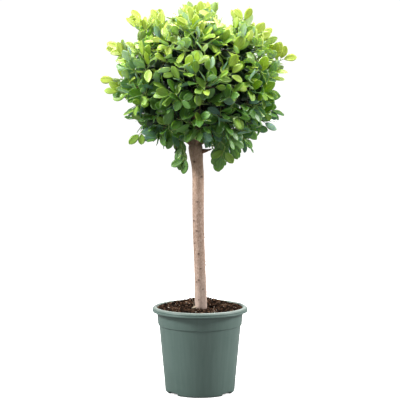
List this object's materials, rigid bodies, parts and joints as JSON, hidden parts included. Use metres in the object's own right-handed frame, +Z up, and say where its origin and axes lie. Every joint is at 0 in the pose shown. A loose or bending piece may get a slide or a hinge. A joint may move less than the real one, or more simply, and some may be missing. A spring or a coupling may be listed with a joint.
{
  "type": "standard lollipop topiary in a nursery pot",
  "caption": "Standard (lollipop) topiary: a bare upright trunk carries a rounded, shaggy leafy crown, planted in a tapered round plastic nursery pot with a wide turned-down rim.",
  "frame": {"origin": "centre of the flat underside of the pot", "axes": "+Z up along the trunk, -Y towards the front of the plant, +X to its right as seen from the front"},
  "size_m": [0.548, 0.5214, 1.094],
  "materials": {
    "pot_plastic": "satin grey-green moulded plastic",
    "potting_mix": "loose dark brown bark and peat potting mix",
    "bark": "smooth pinkish tan bark with small dark marks",
    "cut_wood": "dry brown pruned wood",
    "leaves_young": "glossy yellow-green young leaves",
    "leaves_mature": "glossy mid-green leaves",
    "leaves_shaded": "glossy deep green leaves"
  },
  "bodies": {
    "root": {"pot": "pot_plastic", "soil": "potting_mix", "trunk": "bark", "pruned_stub": "cut_wood", "bough_lower_1": "bark", "bough_lower_2": "bark", "bough_lower_3": "bark", "bough_lower_4": "bark", "bough_middle_1": "bark", "bough_middle_2": "bark", "bough_middle_3": "bark", "bough_middle_4": "bark", "bough_middle_5": "bark", "bough_upper_1": "bark", "bough_upper_2": "bark", "bough_upper_3": "bark", "bough_upper_4": "bark", "foliage_top": "leaves_young", "foliage_lower_1": "leaves_shaded", "foliage_lower_2": "leaves_shaded", "foliage_lower_3": "leaves_shaded", "foliage_lower_4": "leaves_shaded", "foliage_middle_1": "leaves_mature", "foliage_middle_2": "leaves_mature", "foliage_middle_3": "leaves_mature", "foliage_middle_4": "leaves_mature", "foliage_middle_5": "leaves_mature", "foliage_upper_1": "leaves_young", "foliage_upper_2": "leaves_young", "foliage_upper_3": "leaves_young", "foliage_upper_4": "leaves_young"}
  },
  "joints": []
}
